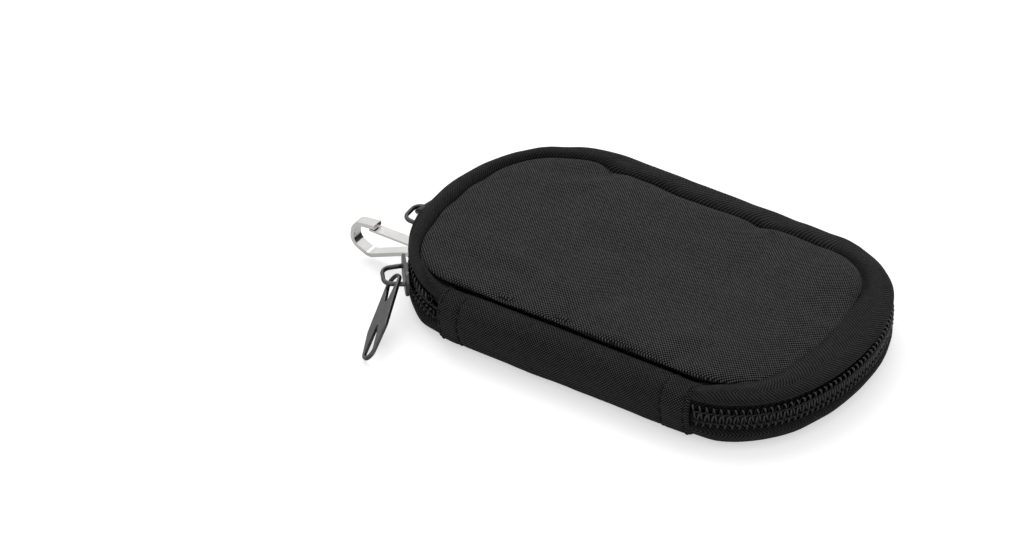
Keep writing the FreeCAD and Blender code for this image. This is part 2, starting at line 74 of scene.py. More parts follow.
def outlineNumbers(left, right, front, back, hookBow, plainBow, spacings):
    half = (back - front) / 2
    corners = [half - spacing / 2 for spacing in spacings]
    return [left, right, front, back, bowRadius(hookBow, half), bowRadius(plainBow, half)] + corners


halfLong, halfWide = caseForm["length"] / 2, caseForm["width"] / 2
marginHook, marginPlain, marginFront, marginBack = caseForm["seamMargins"]
caseLine = outlineNumbers(-halfLong, halfLong, -halfWide, halfWide,
                          caseForm["hookBow"], caseForm["plainBow"], caseForm["cornerSpacings"])
seamLine = outlineNumbers(-halfLong + marginHook, halfLong - marginPlain, -halfWide + marginFront,
                          halfWide - marginBack, caseForm["seamHookBow"], caseForm["seamPlainBow"],
                          caseForm["seamSpacings"])


def lineAt(share, inset=0.0):
    # part of the way from the outline to the seam, then drawn in by so many millimetres
    mixed = [a + (b - a) * share for a, b in zip(caseLine, seamLine)]
    moves = [inset, -inset, inset, -inset] + [-inset] * 6
    return [value + move for value, move in zip(mixed, moves)]


def lineCorners(line):
    left, right, front, back, hookRadius, plainRadius = line[:6]
    middle, half = (front + back) / 2, (back - front) / 2
    found = {}
    for end, side, radius in ((-1, -1, line[6]), (1, -1, line[7]), (1, 1, line[8]), (-1, 1, line[9])):
        endRadius = hookRadius if end < 0 else plainRadius
        endX = left + endRadius if end < 0 else right - endRadius
        lean = math.asin((half - radius) / (endRadius - radius))
        centre = (endX + end * (endRadius - radius) * math.cos(lean), middle + side * (half - radius))
        found[end, side] = (centre, radius, lean, (endX, middle), endRadius)
    return found


def lineRuns(line):
    # eight runs anticlockwise from the front: straight, corner, end, corner, straight, corner, end, corner
    spots = lineCorners(line)
    turn = math.pi
    frontHook, frontPlain, backPlain, backHook = spots[-1, -1], spots[1, -1], spots[1, 1], spots[-1, 1]
    return [
        ("line", (frontHook[0][0], line[2]), (frontPlain[0][0], line[2])),
        ("arc", frontPlain[0], frontPlain[1], -turn / 2, -frontPlain[2]),
        ("arc", frontPlain[3], frontPlain[4], -frontPlain[2], backPlain[2]),
        ("arc", backPlain[0], backPlain[1], backPlain[2], turn / 2),
        ("line", (backPlain[0][0], line[3]), (backHook[0][0], line[3])),
        ("arc", backHook[0], backHook[1], turn / 2, turn - backHook[2]),
        ("arc", backHook[3], backHook[4], turn - backHook[2], turn + frontHook[2]),
        ("arc", frontHook[0], frontHook[1], turn + frontHook[2], turn * 1.5),
    ]


def runLength(run):
    if run[0] == "line":
        return math.dist(run[1], run[2])
    return run[2] * abs(run[4] - run[3])


def runSpot(run, share):
    # place and outward direction
    if run[0] == "line":
        (ax, ay), (bx, by) = run[1], run[2]
        out = (0.0, -1.0) if ay < 0 else (0.0, 1.0)
        return (ax + (bx - ax) * share, ay + (by - ay) * share), out
    angle = run[3] + (run[4] - run[3]) * share
    out = (math.cos(angle), math.sin(angle))
    return (run[1][0] + out[0] * run[2], run[1][1] + out[1] * run[2]), out


def frontY(line, x):
    # the front edge of an outline at a place along the case
    spots = lineCorners(line)
    for end in (-1, 1):
        (cx, cy), radius = spots[end, -1][:2]
        if (x - cx) * end > 0:
            return cy - math.sqrt(max(radius * radius - (x - cx) ** 2, 0.0))
    return line[2]


def ease(low, high, value):
    t = min(max((value - low) / (high - low), 0.0), 1.0)
    return t * t * (3 - 2 * t)


def bell(value, middle, width):
    return math.exp(-((value - middle) / width) ** 2)


def reachAlong(lengths):
    # how far along a run each of its stops lies
    reach = [0.0]
    for length in lengths:
        reach.append(reach[-1] + length)
    return reach


def evenRun(dense, count):
    reach = reachAlong((b - a).length for a, b in zip(dense, dense[1:]))
    made, k = [], 0
    for i in range(count):
        want = reach[-1] * i / (count - 1)
        while k < len(reach) - 2 and reach[k + 1] < want:
            k += 1
        t = (want - reach[k]) / max(reach[k + 1] - reach[k], 1e-9)
        made.append(dense[k].lerp(dense[k + 1], min(t, 1.0)))
    return made


def smoothRun(points, count, steps=24):
    # an even run of points on a smooth curve through the given ones
    dense = []
    for i in range(len(points) - 1):
        p = [Vector(points[max(min(i + k, len(points) - 1), 0)]) for k in (-1, 0, 1, 2)]
        for j in range(steps):
            t = j / steps
            dense.append(0.5 * (2 * p[1] + (p[2] - p[0]) * t + (2 * p[0] - 5 * p[1] + 4 * p[2] - p[3]) * t * t
                                + (3 * p[1] - p[0] - 3 * p[2] + p[3]) * t ** 3))
    dense.append(Vector(points[-1]))
    return evenRun(dense, count)


def ripple(x, y, depth, layer, size):
    # steady soft noise, up to a depth either way
    return depth * noise.noise(Vector((x / size, y / size, layer / size)))


# the zip's line, from the spine's plain end round the back to its hook end
spineForm = {
    "hookEnd": -34.7,
    "plainEnd": 33.6,
    "section": [  # share to the seam, rise above the zip
        (1.0, -5.75), (0.78, -7.3), (0.45, -7.4), (0.16, -5.75), (0.02, -2.9), (-0.04, 0.0), (0.01, 2.3),
        (0.12, 4.0), (0.34, 5.1), (0.60, 5.55), (0.80, 5.42), (0.92, 5.0), (1.0, 4.6)],
}
zipForm = {"inset": 1.0, "nearTurn": 40.0, "farTurn": 5.0, "lipLift": 2.95, "liftFrom": 3.3, "liftTo": 7.2}
zipRuns = lineRuns(lineAt(0.0, zipForm["inset"]))
zipReach = reachAlong(runLength(run) for run in zipRuns)


def zipStop(along):
    # the run that a place on the zip lies on, and the share of that run
    index = max(k for k in range(8) if zipReach[k] <= along)
    return index, (along - zipReach[index]) / (zipReach[index + 1] - zipReach[index])


def zipSpot(along):
    index, share = zipStop(along)
    return runSpot(zipRuns[index], share)


def zipAtTurn(index, turn):
    # how far along the zip a turn of one of its arcs lies, in degrees
    run = zipRuns[index]
    share = (math.radians(turn) - run[3]) / (run[4] - run[3])
    return zipReach[index] + (zipReach[index + 1] - zipReach[index]) * share


def zipAtX(index, x, whole):
    # the same for a place along the case on a front corner
    centre, radius = zipRuns[index][1:3]
    return zipAtTurn(index, whole - math.degrees(math.acos((x - centre[0]) / radius)))


farAlong = zipAtTurn(6, 180 + zipForm["farTurn"])
nearAlong = zipAtTurn(7, 180 + zipForm["nearTurn"])
zipStart = zipAtX(1, spineForm["plainEnd"], 0)
zipEnd = zipAtX(7, spineForm["hookEnd"], 360)


def mouthShare(along):
    # 1 where the two zip halves stand apart for the hook
    low, high = zipForm["liftFrom"], zipForm["liftTo"]
    opened = ease(farAlong + low, farAlong + high, along)
    return opened * (1 - ease(nearAlong - high, nearAlong - low, along))


def spineAt(value, side, key):
    # the spine's share at a rise (key 1) or its rise at a share (key 0), on one side of the zip
    spots = sorted((share, rise * side) for share, rise in spineForm["section"] if rise * side > 0)
    for a, b in zip(spots, spots[1:]):
        if value <= b[key]:
            t = max(value - a[key], 0.0) / (b[key] - a[key])
            return a[1 - key] + (b[1 - key] - a[1 - key]) * t
    return spots[-1][1 - key]


# where the sewing draws the cloth in
seamForm = {
    "puckers": [  # x, side of the case, width, depth
        (-27.0, 1, 2.8, 0.95), (-8.0, 1, 5.0, 0.3), (13.5, 1, 2.8, 1.05), (30.0, 1, 4.0, 0.45),
        (-20.0, -1, 4.0, 0.6), (-4.5, -1, 3.2, 0.75), (12.0, -1, 4.5, 0.5), (25.0, -1, 3.0, 0.5)],
    "ripples": [(0.16, 3.0, 5.5), (0.10, 9.0, 2.6)],  # depth, layer, size
    "backBend": (1.25, -3.0, 17.0),  # depth, x, width
    "frontBend": (0.25, -6.0, 9.0),
    "bendPull": 1.6,
    "sway": 0.5,
    "swayFull": 20.0,  # distance from the long axis
    "seamward": (0.25, 1.0),  # shares from the outline over which the sway grows
    "flushX": (28.0, 45.0),
    "flushY": (6.0, 24.0),
    "flushLoss": 0.7,  # towards the back
}
overhangForm = {"front": 0.85, "hook": 1.05, "back": 0.45, "plain": 0.1, "flushLoss": 0.85, "waver": (0.4, 7.0, 7.0)}


def pucker(x, y):
    total = 0.0
    for place, side, width, depth in seamForm["puckers"]:
        if side * y > 0:
            total += depth * bell(x, place, width)
    for soft in seamForm["ripples"]:
        total += ripple(x, y, *soft)
    return total


def seamDraw(x, y, share):
    # the seam itself wanders a little, and most along the back
    depth, place, width = seamForm["backBend" if y > 0 else "frontBend"]
    sway = seamForm["sway"] * (pucker(x, y) + depth * bell(x, place, width) * seamForm["bendPull"]) * share
    return -math.copysign(sway, y) * min(abs(y) / seamForm["swayFull"], 1.0)


def flushShare(x, y):
    # 1 at the plain end, where the tape meets the panel without a groove
    return ease(*seamForm["flushX"], x) * (1 - seamForm["flushLoss"] * ease(*seamForm["flushY"], y))


def overhang(x, y, out):
    # how far the panel's edge stands out over the groove
    reach = overhangForm["front"] * max(-out.y, 0.0) + overhangForm["back"] * max(out.y, 0.0)
    reach += overhangForm["hook"] * max(-out.x, 0.0) + overhangForm["plain"] * max(out.x, 0.0)
    return reach * (1 - overhangForm["flushLoss"] * flushShare(x, y)) * (1 + ripple(x, y, *overhangForm["waver"]))


def addPiece(name, mesh):
    mesh.polygons.foreach_set("use_smooth", [True] * len(mesh.polygons))
    piece = bpy.data.objects.new(name, mesh)
    scene.collection.objects.link(piece)
    return piece


def finishMesh(bm, name):
    mesh = bpy.data.meshes.new(name)
    bm.to_mesh(mesh)
    bm.free()
    return addPiece(name, mesh)


def clothGrid(name, columns, rows, place, run, joined=False, turned=False, rounded=False):
    # a grid laid out by place(column, row) in millimetres, with run(column, row) as its cloth map
    bm = bmesh.new()
    bmesh.ops.create_grid(bm, x_segments=columns, y_segments=rows, size=1.0)
    clothRun = bm.loops.layers.uv.new("clothRun")
    spot = {v: (round((v.co.x + 1) / 2 * columns), round((v.co.y + 1) / 2 * rows)) for v in bm.verts}
    for face in bm.faces:
        for loop in face.loops:
            loop[clothRun].uv = [value * mm for value in run(*spot[loop.vert])]
    for v, (column, row) in spot.items():
        v.co = Vector(place(column, row)) * mm
    if joined:
        bmesh.ops.remove_doubles(bm, verts=bm.verts[:], dist=1e-6)
    if rounded:  # the grid's own corners lie on a smooth edge
        bmesh.ops.dissolve_verts(bm, verts=[v for v in bm.verts if len(v.link_edges) == 2])
    if turned:
        bmesh.ops.reverse_faces(bm, faces=bm.faces[:])
    return finishMesh(bm, name)


def thicken(piece, thickness):
    solid = piece.modifiers.new("clothThickness", "SOLIDIFY")
    solid.thickness = thickness * mm
    solid.offset = -1
    return piece


def threadRuns(name, strokes, radius, sides=1):
    # round threads or wires along runs of points, in millimetres
    curve = bpy.data.curves.new(name, "CURVE")
    curve.dimensions = "3D"
    curve.bevel_depth = radius * mm
    curve.bevel_resolution = sides
    curve.use_fill_caps = True
    for stroke in strokes:
        spline = curve.splines.new("POLY")
        spline.points.add(len(stroke) - 1)
        for point, spot in zip(spline.points, stroke):
            point.co = (*[value * mm for value in spot], 1.0)
    holder = bpy.data.objects.new(name + "Line", curve)
    scene.collection.objects.link(holder)
    mesh = bpy.data.meshes.new_from_object(holder.evaluated_get(bpy.context.evaluated_depsgraph_get()))
    bpy.data.objects.remove(holder)
    mesh.name = name
    return addPiece(name, mesh)


# shader groups: each takes a vector and sizes
def newGroup(name, sizes, gives):
    group = bpy.data.node_groups.new(name, "ShaderNodeTree")
    group.interface.new_socket("Vector", in_out="INPUT", socket_type="NodeSocketVector")
    for label, value in sizes.items():
        group.interface.new_socket(label, in_out="INPUT", socket_type="NodeSocketFloat").default_value = value
    for label in gives:
        group.interface.new_socket(label, in_out="OUTPUT", socket_type="NodeSocketFloat")
    taken, given = group.nodes.new("NodeGroupInput").outputs, group.nodes.new("NodeGroupOutput").inputs
    return group, lambda *values: calc(group, *values), taken, given


def give(group, given, **values):
    for label, value in values.items():
        group.links.new(value, given[label])
    return group


def calc(tree, operation, *values):
    node = tree.nodes.new("ShaderNodeMath")
    node.operation = operation
    for socket, value in zip(node.inputs, values):
        if isinstance(value, (int, float)):
            socket.default_value = value
        else:
            tree.links.new(value, socket)
    return node.outputs[0]


def feed(tree, node, values):
    # each socket takes a link or a constant
    for label, value in values.items():
        if isinstance(value, bpy.types.NodeSocket):
            tree.links.new(value, node.inputs[label])
        else:
            node.inputs[label].default_value = value
    return node.outputs


def newNode(tree, kind, values):
    return feed(tree, tree.nodes.new(kind), values)


def splitVector(group, taken):
    return newNode(group, "ShaderNodeSeparateXYZ", {"Vector": taken["Vector"]})[:2]


def arch(do, value):
    # one round rise for each whole step of a value
    return do("SINE", do("MULTIPLY", do("FRACT", value), math.pi))


def makePlainWeave():
    # one pillow for each crossing, long along the thread that lies on top
    group, do, taken, given = newGroup("plainWeave", {"Pitch": 0.45 * mm}, ["Height", "Over"])
    across, along = [do("DIVIDE", part, taken["Pitch"]) for part in splitVector(group, taken)]
    floors = do("ADD", do("FLOOR", across), do("FLOOR", along))
    over = do("FLOORED_MODULO", floors, 2.0)
    waves = [arch(do, value) for value in (across, along)]
    broad = [do("POWER", wave, 0.7) for wave in waves]
    tight = [do("POWER", wave, 0.3) for wave in waves]
    warp = do("MULTIPLY", broad[0], tight[1])
    weft = do("MULTIPLY", broad[1], tight[0])
    lifted = do("ADD", warp, do("MULTIPLY", over, do("SUBTRACT", weft, warp)))
    return give(group, given, Height=lifted, Over=over)


def makeHerringbone():
    # slanting ribs that turn back at the edge of each column
    group, do, taken, given = newGroup("herringbone", {"Pitch": 0.7 * mm, "Column": 3.0 * mm}, ["Height", "Rib"])
    along, across = splitVector(group, taken)
    slant = do("MULTIPLY", do("PINGPONG", across, taken["Column"]), 0.9)
    rib = arch(do, do("DIVIDE", do("SUBTRACT", along, slant), taken["Pitch"]))
    turns = do("DIVIDE", across, do("MULTIPLY", taken["Pitch"], 0.55))
    yarn = do("ABSOLUTE", do("SINE", do("MULTIPLY", turns, math.pi)))
    lumps = do("ADD", do("MULTIPLY", yarn, 0.35), 0.65)
    return give(group, given, Height=do("MULTIPLY", do("POWER", rib, 0.7), lumps), Rib=rib)


def makeRibbing():
    # straight ribs across a ribbon or webbing
    group, do, taken, given = newGroup("ribbing", {"Pitch": 0.5 * mm}, ["Height", "Over"])
    length, width = splitVector(group, taken)
    along = do("DIVIDE", length, taken["Pitch"])
    across = do("DIVIDE", width, do("MULTIPLY", taken["Pitch"], 1.8))
    over = do("FLOORED_MODULO", do("FLOOR", across), 2.0)
    rib = arch(do, do("ADD", along, do("MULTIPLY", over, 0.5)))
    edge = do("POWER", arch(do, across), 0.4)
    return give(group, given, Height=do("MULTIPLY", rib, edge), Over=over)


def makeHandling():
    # uneven wear: broad patches and fine streaks
    group, do, taken, given = newGroup("handling", {"Size": 400.0}, ["Patches", "Streaks"])
    broad = newNode(group, "ShaderNodeTexNoise", {"Vector": taken["Vector"], "Scale": taken["Size"], "Detail": 4.0})
    stretched = newNode(group, "ShaderNodeMapping", {
        "Vector": taken["Vector"], "Scale": (1.0, 9.0, 3.0), "Rotation": (0.3, 0.2, 0.6)})
    fine = newNode(group, "ShaderNodeTexNoise", {
        "Vector": stretched[0], "Scale": do("MULTIPLY", taken["Size"], 2.5), "Detail": 3.0})
    return give(group, given, Patches=broad[0], Streaks=fine[0])


plainWeave, herringbone, ribbing, handling = makePlainWeave(), makeHerringbone(), makeRibbing(), makeHandling()


def newMaterial(name):
    made = bpy.data.materials.new(name)
    made.use_nodes = True
    tree = made.node_tree
    return made, tree, tree.nodes["Principled BSDF"]


def placeGroup(tree, group, values):
    node = tree.nodes.new("ShaderNodeGroup")
    node.node_tree = group
    return feed(tree, node, values)


def mixColours(tree, factor, low, high):
    node = tree.nodes.new("ShaderNodeMix")
    node.data_type = "RGBA"
    return feed(tree, node, {"Factor": factor, "A": (*low, 1.0), "B": (*high, 1.0)})["Result"]


def span(tree, value, low, high):
    # a 0 to 1 value carried to another range
    return newNode(tree, "ShaderNodeMapRange", {"Value": value, "To Min": low, "To Max": high})["Result"]


def bumps(tree, height, strength, depth):
    return newNode(tree, "ShaderNodeBump", {"Height": height, "Strength": strength, "Distance": depth * mm})[0]


def grey(value):
    return (value, value, value * 1.02)


# under: how light the thread lying underneath is painted, against the painted highlight on the thread on top
clothLook = {"patches": 160.0, "patchShades": (0.75, 1.25), "yarn": 900.0, "yarnShades": (0.35, 1.65), "under": 0.12,
             "gloss": 0.05, "sheen": 0.03, "sheenRough": 0.45}


def makeCloth(name, weave, **ownLook):
    look = clothLook | ownLook
    made, tree, shader = newMaterial(name)
    place = tree.nodes.new("ShaderNodeTexCoord").outputs["Object"]
    vector = place
    if look["follow"]:
        mapped = tree.nodes.new("ShaderNodeUVMap")
        mapped.uv_map = "clothRun"
        vector = mapped.outputs[0]
    sizes = {"Vector": vector, "Pitch": look["pitch"] * mm}
    if "column" in look:
        sizes["Column"] = look["column"] * mm
    woven = placeGroup(tree, weave, sizes)
    worn = placeGroup(tree, handling, {"Vector": place, "Size": look["patches"]})
    yarn = placeGroup(tree, handling, {"Vector": place, "Size": look["yarn"]})
    # painted light: the weave's height paints shade between the threads, and the thread on top (the rib, in a
    # herringbone) gets a painted highlight; the yarn and patch tones vary at random
    paintedLightAndTones = ((woven["Rib" if "column" in look else "Over"], look["under"], 1.0),
              (yarn["Patches"], *look["yarnShades"]), (worn["Patches"], *look["patchShades"]))
    tone = woven["Height"]
    for value, low, high in paintedLightAndTones:
        tone = calc(tree, "MULTIPLY", tone, span(tree, value, low, high))
    feed(tree, shader, {
        "Base Color": mixColours(tree, tone, grey(look["dark"]), grey(look["light"])),
        "Roughness": span(tree, worn["Streaks"], *look["rough"]),
        "Specular IOR Level": look["gloss"],
        "Sheen Weight": look["sheen"],
        "Sheen Roughness": look["sheenRough"],
        "Normal": bumps(tree, woven["Height"], 1.0, look["depth"])})
    return made


panelCloth = makeCloth("panelCloth", plainWeave, follow=False, pitch=0.37, dark=0.002, light=0.121,
                       rough=(0.62, 0.85), depth=0.1, under=0.0)
# the panel's cloth painted darker: painted shade for the steep front wall
spineClothPaintedShade = makeCloth("spineClothPaintedShade", plainWeave, follow=True, pitch=0.37, dark=0.002, light=0.070,
                       rough=(0.62, 0.85), depth=0.1, under=0.0)
tapeCloth = makeCloth("tapeCloth", herringbone, follow=True, pitch=0.85, column=4.3, dark=0.001, light=0.043,
                      rough=(0.65, 0.9), depth=0.26, under=0.0, gloss=0.04, sheen=0.05)
liningCloth = makeCloth("liningCloth", plainWeave, follow=False, pitch=0.24, dark=0.020, light=0.060,
                        rough=(0.42, 0.6), depth=0.02, gloss=0.4)
bindingCloth = makeCloth("bindingCloth", ribbing, follow=True, pitch=0.55, dark=0.010, light=0.042,
                         rough=(0.55, 0.75), depth=0.06)
strapCloth = makeCloth("strapCloth", ribbing, follow=True, pitch=0.7, dark=0.009, light=0.040,
                       rough=(0.5, 0.7), depth=0.12, sheen=0.05)

# grain is the bump's strength and depth
threadLook = {"patches": 900.0, "metal": 0.0, "gloss": 0.16, "grain": (0.4, 0.03)}
metalLook = {"metal": 0.9, "gloss": 0.5, "grain": (0.05, 0.02), "light": grey(0.11)}


def makeSolid(name, shared, **ownLook):
    # twisted yarn, drawn nylon or metal
    look = shared | ownLook
    made, tree, shader = newMaterial(name)
    place = tree.nodes.new("ShaderNodeTexCoord").outputs["Object"]
    worn = placeGroup(tree, handling, {"Vector": place, "Size": look["patches"]})
    feed(tree, shader, {
        "Base Color": mixColours(tree, worn["Patches"], look["dark"], look["light"]),
        "Roughness": span(tree, worn["Streaks"], *look["rough"]),
        "Metallic": look["metal"],
        "Specular IOR Level": look["gloss"],
        "Normal": bumps(tree, worn["Streaks"], *look["grain"])})
    return made


coilNylon = makeSolid("coilNylon", threadLook, dark=grey(0.001), light=grey(0.005), rough=(0.18, 0.32), gloss=0.5)
spineThread = makeSolid("spineThread", threadLook, dark=grey(0.002), light=grey(0.006), rough=(0.6, 0.85))
sewingThread = makeSolid("sewingThread", threadLook, dark=grey(0.012), light=grey(0.034), rough=(0.5, 0.8))
sliderEnamel = makeSolid("sliderEnamel", metalLook, patches=700.0, dark=grey(0.055), rough=(0.24, 0.36))
pullEnamel = makeSolid("pullEnamel", metalLook, patches=500.0, dark=grey(0.05), rough=(0.22, 0.34))
brightNickel = makeSolid("brightNickel", metalLook, patches=350.0, dark=(0.60, 0.595, 0.58), light=(0.80, 0.795, 0.78),
                         metal=1.0, rough=(0.08, 0.20), grain=(0.03, 0.02))
print("materials made")


def dress(piece, material):
    piece.data.materials.clear()
    piece.data.materials.append(material)
    return piece


# zipper tapes: behind the coil, out over it, up the wall, over the rim and down to the seam
tapeForm = {
    # share to the seam, inset, rise above the zip, fall towards the plain end, dips at the seam: grooved, flush
    "section": [
        (0, 2.2, 0.75, 0, 0, 0), (0, 2.2, 2.0, 0, 0, 0), (0, 2.15, 2.8, 0, 0, 0),
        (0, 1.75, 3.35, 0.04, 0, 0), (0, 1.0, 3.75, 0.12, 0, 0), (0.02, 0.25, 4.3, 0.25, 0, 0),
        (0.03, 0, 4.95, 0.46, 0, 0), (0.06, 0, 5.7, 0.81, 0, 0), (0.12, 0, 6.45, 1.09, 0, 0),
        (0.22, 0, 7.05, 1.3, 0, 0), (0.36, 0, 7.5, 1.44, 0, 0), (0.52, 0, 7.74, 1.34, 0, 0.1),
        (0.68, 0, 7.74, 1.17, 0.1, 0.28), (0.79, 0, 7.5, 0.92, 0.5, 0.45), (0.86, 0, 7.1, 0.7, 1.15, 0.42),
        (0.90, 0, 6.75, 0.5, 1.4, 0.35), (0.95, 0, 6.3, 0.3, 1.2, 0.2), (1.0, 0, 5.75, 0, 0.5, 0),
        (1.0, 0.3, 5.1, 0, 0.2, 0), (1.0, 1.0, 4.7, 0, 0, 0)],
    "lip": 3.35,  # rise of the edge over the coil
    "tuck": 0.35,  # how far the ends lie under the spine's face
    "tuckRun": 6.0,
    "tuckTop": 0.6,  # share at which the tucked rim is highest
    "plainReach": 1.2,  # how far each end reaches in under the spine
    "hookReach": 0.3,
    "lowerFall": 0.3,  # of the upper tape's fall
    "liftFade": (2.9, 7.5),  # rises over which the mouth's lift dies out
    "drawn": 0.5, "drawnFrom": (0.15, 0.6), "drawnTo": (0.85, 1.0), "drawnLoss": 0.7,
    "wall": (0.22, 1.0, 7.0),  # depth, layer, size
    "wallFrom": (4.0, 5.2),
    "tabRoom": (0.35, -43.2, 6),  # depth, x, width
    "bunch": (0.32, 6.0, 7.5),  # lumps along the back rim
    "bunchY": (4, 18), "bunchFrom": (5.0, 7.0), "bunchTo": (0.7, 0.95),
    "rows": 40, "thickness": 0.4,
}
tapeRows = smoothRun([(share * marginFront, *rest) for share, *rest in tapeForm["section"]], tapeForm["rows"] + 1)
tapeCrest = max(range(len(tapeRows)), key=lambda row: tapeRows[row][2])
tapeLines = [lineAt(row[0] / marginFront, row[1]) for row in tapeRows]
tapeRuns = [lineRuns(line) for line in tapeLines]
tapeReach = reachAlong(math.hypot(b[0] + b[1] - a[0] - a[1], b[2] - a[2]) for a, b in zip(tapeRows, tapeRows[1:]))
tapeColumns = math.ceil((zipEnd - zipStart) / caseForm["step"])
tapeAlongs = [zipStart + (zipEnd - zipStart) * column / tapeColumns for column in range(tapeColumns + 1)]
tapeStops = [(*zipStop(along), along) for along in tapeAlongs]
tapeEnds = (spineForm["plainEnd"] - tapeForm["plainReach"], spineForm["hookEnd"] + tapeForm["hookReach"])


def tuckedRow(row, side):
    # share, inset and rise of a row where it passes under the spine
    across, inset, rise = tapeRows[row][0] / marginFront, tapeRows[row][1], tapeRows[row][2]
    lip = tapeForm["lip"]
    if row >= tapeCrest:
        return across, inset, min(rise, spineAt(across, side, 0) - tapeForm["tuck"])
    if rise <= lip:
        return across, inset, rise
    top = spineAt(tapeForm["tuckTop"], side, 0) - tapeForm["tuck"]
    lowered = lip + (rise - lip) * (top - lip) / (tapeRows[tapeCrest][2] - lip)
    return max(across, spineAt(lowered, side, 1) + 0.05), inset * 0.5, lowered


tuckedRows = {side: [tuckedRow(row, side) for row in range(len(tapeRows))] for side in (1, -1)}
tuckedLines = {side: [lineAt(across, inset) for across, inset, rise in tuckedRows[side]] for side in (1, -1)}
tuckedRuns = {side: [lineRuns(line) for line in tuckedLines[side]] for side in (1, -1)}


def tapeSpot(column, row, side):
    index, share, along = tapeStops[column]
    margin, _, rise, plainFall, grooveDip, flushDip = tapeRows[row]
    across = margin / marginFront
    (x, y), out = runSpot(tapeRuns[row][index], share)
    tucked = 0.0
    for end, edge in ((0, tapeEnds[0]), (tapeColumns, tapeEnds[1])):
        away = abs(column - end) * caseForm["step"]
        if away < tapeForm["tuckRun"]:  # square the tape's end off against the spine's fold
            tucked = 1 - ease(0.5, tapeForm["tuckRun"], away)
            low = runSpot(tuckedRuns[side][row][index], share)[0]
            x, y = x + (low[0] - x) * tucked, y + (low[1] - y) * tucked
            endIndex, endShare = tapeStops[end][:2]
            short = edge - runSpot(tuckedRuns[side][row][endIndex], endShare)[0][0]
            x += short * (1 - ease(0, tapeForm["tuckRun"], away))
            y = frontY(tapeLines[row], x) * (1 - tucked) + frontY(tuckedLines[side][row], x) * tucked
    lift = 0.0
    if row < tapeCrest:
        lift = zipForm["lipLift"] * mouthShare(along) * (1 - ease(*tapeForm["liftFade"], rise))
    fall = plainFall * (x + halfLong) / caseForm["length"] * (1 if side > 0 else tapeForm["lowerFall"])
    flush = flushShare(x, y)
    fall += grooveDip * (1 - flush) + flushDip * flush
    seamward = ease(*seamForm["seamward"], across)
    drawn = ease(*tapeForm["drawnFrom"], across) * pucker(x, y)
    drawn *= 1 - tapeForm["drawnLoss"] * ease(*tapeForm["drawnTo"], across)
    wall = ripple(x, y, *tapeForm["wall"])
    if side > 0 and y < 0:  # room for the near tab when the cover lies open
        depth, place, width = tapeForm["tabRoom"]
        wall -= depth * bell(x, place, width)
    wall *= ease(*tapeForm["wallFrom"], rise) * (1 - seamward)
    bunched = ripple(x, y, *tapeForm["bunch"]) * ease(*tapeForm["bunchY"], y)
    bunched *= ease(*tapeForm["bunchFrom"], rise) * (1 - ease(*tapeForm["bunchTo"], across))
    height = rise + lift - fall - tapeForm["drawn"] * drawn + bunched - abs(bunched) * 0.5
    low = tuckedRows[side][row][2]
    if row >= tapeCrest:
        low = min(height, low)
    height += (low - height) * tucked
    return x + out[0] * wall, y + out[1] * wall + seamDraw(x, y, seamward), height


def makeTape(name, side):
    def place(column, row):
        x, y, rise = tapeSpot(column, row, side)
        return x, y, zipZ + side * rise
    made = clothGrid(name, tapeColumns, tapeForm["rows"], place,
                     lambda column, row: (tapeStops[column][2], tapeReach[row]), turned=side < 0)
    return thicken(made, tapeForm["thickness"])


for level, face, side, body in halves:
    tape = dress(makeTape(level + "TapeCloth", side), tapeCloth)
    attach(tape, body)
    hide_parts(level + "_zipper_tape")
print("zipper tapes made")


# zipper coils: a flattened nylon spiral on each tape, the heads meeting on the zip line
coilForm = {
    "pitch": 1.6,
    "wire": 0.30,  # radius
    "edge": 2.66,  # how far from the zip line the loops start
    "head": -0.75,  # closed heads pass the zip line by this much
    "clearHead": 0.66,  # where a slider's post has to run
    "nearRun": (-8, -7),  # heads part over these stretches from each slider
    "farRun": (-26, -25),
    "farStop": (7, 8),
    "outer": 0.30,
    "inner": 1.45,
    "flatness": 0.6,
    "sewn": 1.3,  # rise of the sewing line
    "pinch": 0.5,
    "pinchWidth": 0.36,
    "steps": 18,
    "outerShare": 0.66,  # of the pitch taken by the leg that shows
    "thread": 0.17,  # radius
    "threadSpan": 0.9,  # of the pitch
    "stitch": [  # share of the span, rise, inset
        (0.0, -0.08, 0.55), (0.2, -0.05, 0.22), (0.5, 0.0, 0.16), (0.8, 0.05, 0.22), (1.0, 0.08, 0.55)],
}


def nearTo(place, limits, along):
    return ease(place + limits[0], place + limits[1], along)


def coilHead(along):
    # heads stay apart within each slider's run
    near = nearTo(nearAlong, coilForm["nearRun"], along)
    far = nearTo(farAlong, coilForm["farRun"], along) * (1 - nearTo(farAlong, coilForm["farStop"], along))
    apart = max(near, far, mouthShare(along))
    return coilForm["head"] + (coilForm["clearHead"] - coilForm["head"]) * apart


def coilPoint(along, rise, inset, side):
    (x, y), out = zipSpot(along)
    push = zipForm["inset"] - inset
    lift = zipForm["lipLift"] * mouthShare(along)
    return x + out[0] * push, y + out[1] * push, zipZ + side * (rise + lift)


